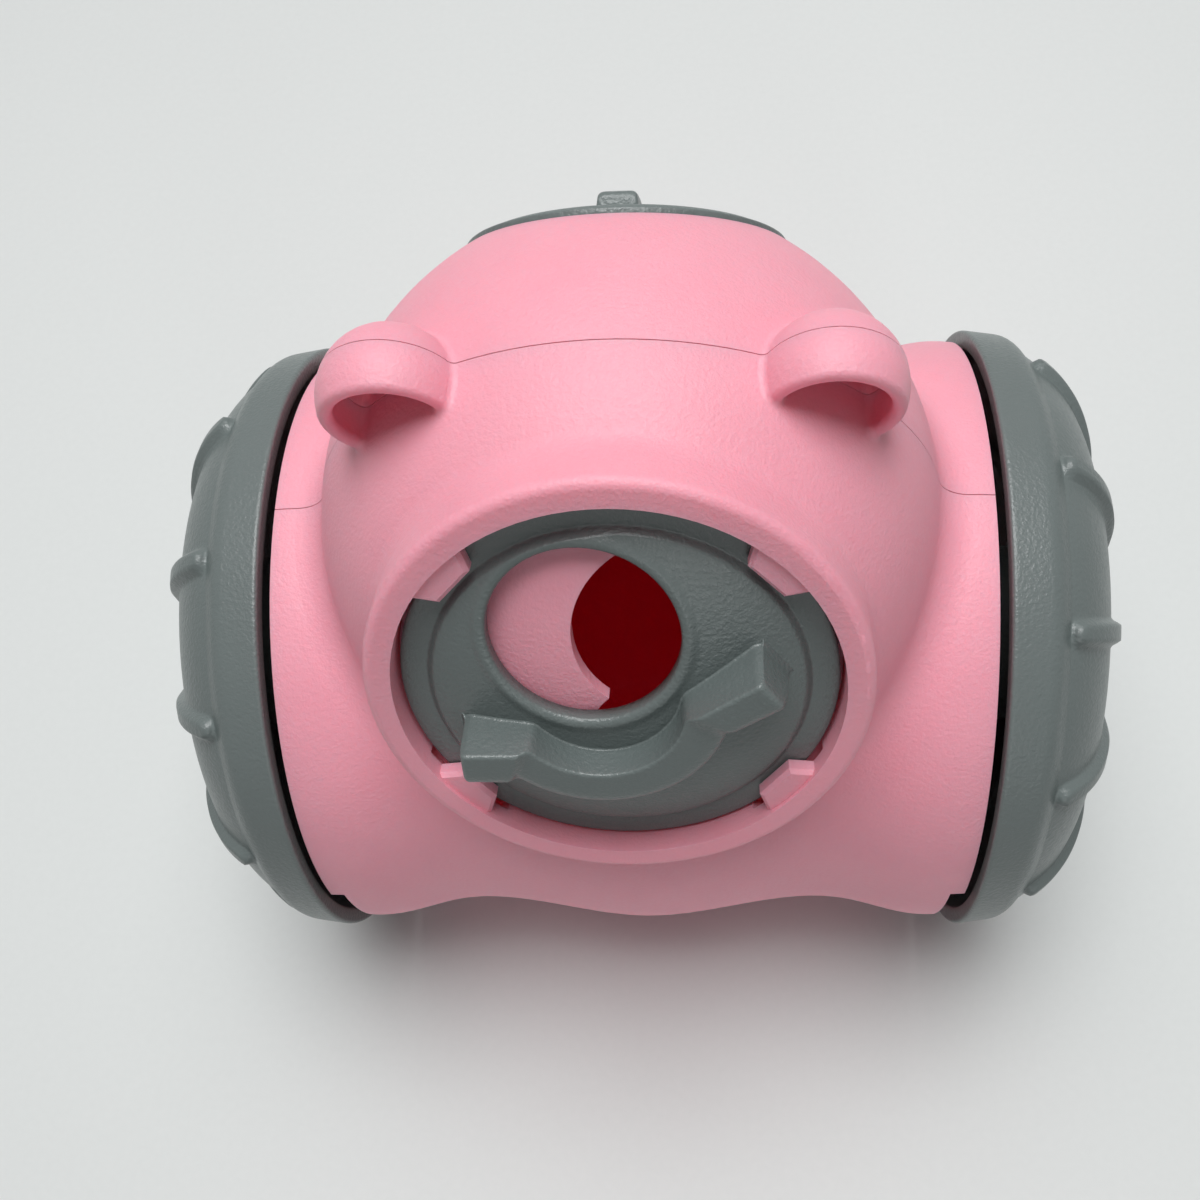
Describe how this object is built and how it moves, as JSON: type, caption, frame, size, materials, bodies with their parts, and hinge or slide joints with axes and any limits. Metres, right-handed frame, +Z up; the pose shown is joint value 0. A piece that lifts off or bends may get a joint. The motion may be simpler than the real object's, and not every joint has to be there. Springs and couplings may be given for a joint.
{
  "type": "treat dispensing dog toy",
  "caption": "Weighted rolling treat toy for dogs: a round-headed body between wheels, with a turning outlet disc in the snout and a filling lid behind.",
  "frame": {"origin": "on the floor, under the middle of the wheel axle", "axes": "+Z up, +X along the wheel axle, the snout looks along -Y"},
  "size_m": [0.1332, 0.094, 0.1278],
  "materials": {
    "pink_plastic": "fine spark-eroded grain",
    "grey_plastic": "fine spark-eroded grain",
    "bearing_plastic": "smooth",
    "zinc_steel": "zinc plated",
    "weight_steel": "rolled",
    "seal_rubber": "soft matte"
  },
  "bodies": {
    "body": {"front_shell": "pink_plastic", "rear_shell": "pink_plastic", "shell_screws": "zinc_steel", "left_axle_plate": "pink_plastic", "right_axle_plate": "pink_plastic", "left_wheel_washer": "zinc_steel", "right_wheel_washer": "zinc_steel", "left_wheel_screw": "zinc_steel", "right_wheel_screw": "zinc_steel", "shutter_plate": "pink_plastic", "shutter_screws": "zinc_steel", "weight_tub": "pink_plastic", "weight_cover": "pink_plastic", "weight_cover_screws": "zinc_steel", "counterweight": "weight_steel"},
    "left_wheel_body": {"left_wheel": "grey_plastic", "left_wheel_bush": "bearing_plastic", "left_hub_cap": "grey_plastic"},
    "right_wheel_body": {"right_wheel": "grey_plastic", "right_wheel_bush": "bearing_plastic", "right_hub_cap": "grey_plastic"},
    "outlet_disc_body": {"outlet_disc": "grey_plastic"},
    "lid_seal_body": {"lid_seal": "seal_rubber"},
    "fill_lid_body": {"fill_lid": "grey_plastic"}
  },
  "joints": [
    {"name": "left_wheel_spin", "type": "hinge", "parent": "body", "child": "left_wheel_body", "pos_m": [0, 0, 0.047], "axis": [1, 0, 0], "continuous": true},
    {"name": "right_wheel_spin", "type": "hinge", "parent": "body", "child": "right_wheel_body", "pos_m": [0, 0, 0.047], "axis": [1, 0, 0], "continuous": true},
    {"name": "outlet_disc_turn", "type": "hinge", "parent": "body", "child": "outlet_disc_body", "pos_m": [0, 0, 0.0857], "axis": [0, -0.8829, 0.4695], "continuous": true},
    {"name": "fill_lid_lift", "type": "slide", "parent": "body", "child": "lid_seal_body", "axis": [0, 0.891, 0.454], "range_m": [0, 0.03]},
    {"name": "fill_lid_turn", "type": "hinge", "parent": "lid_seal_body", "child": "fill_lid_body", "pos_m": [0, 0, 0.0857], "axis": [0, 0.891, 0.454], "range_deg": [0, 90]}
  ]
}
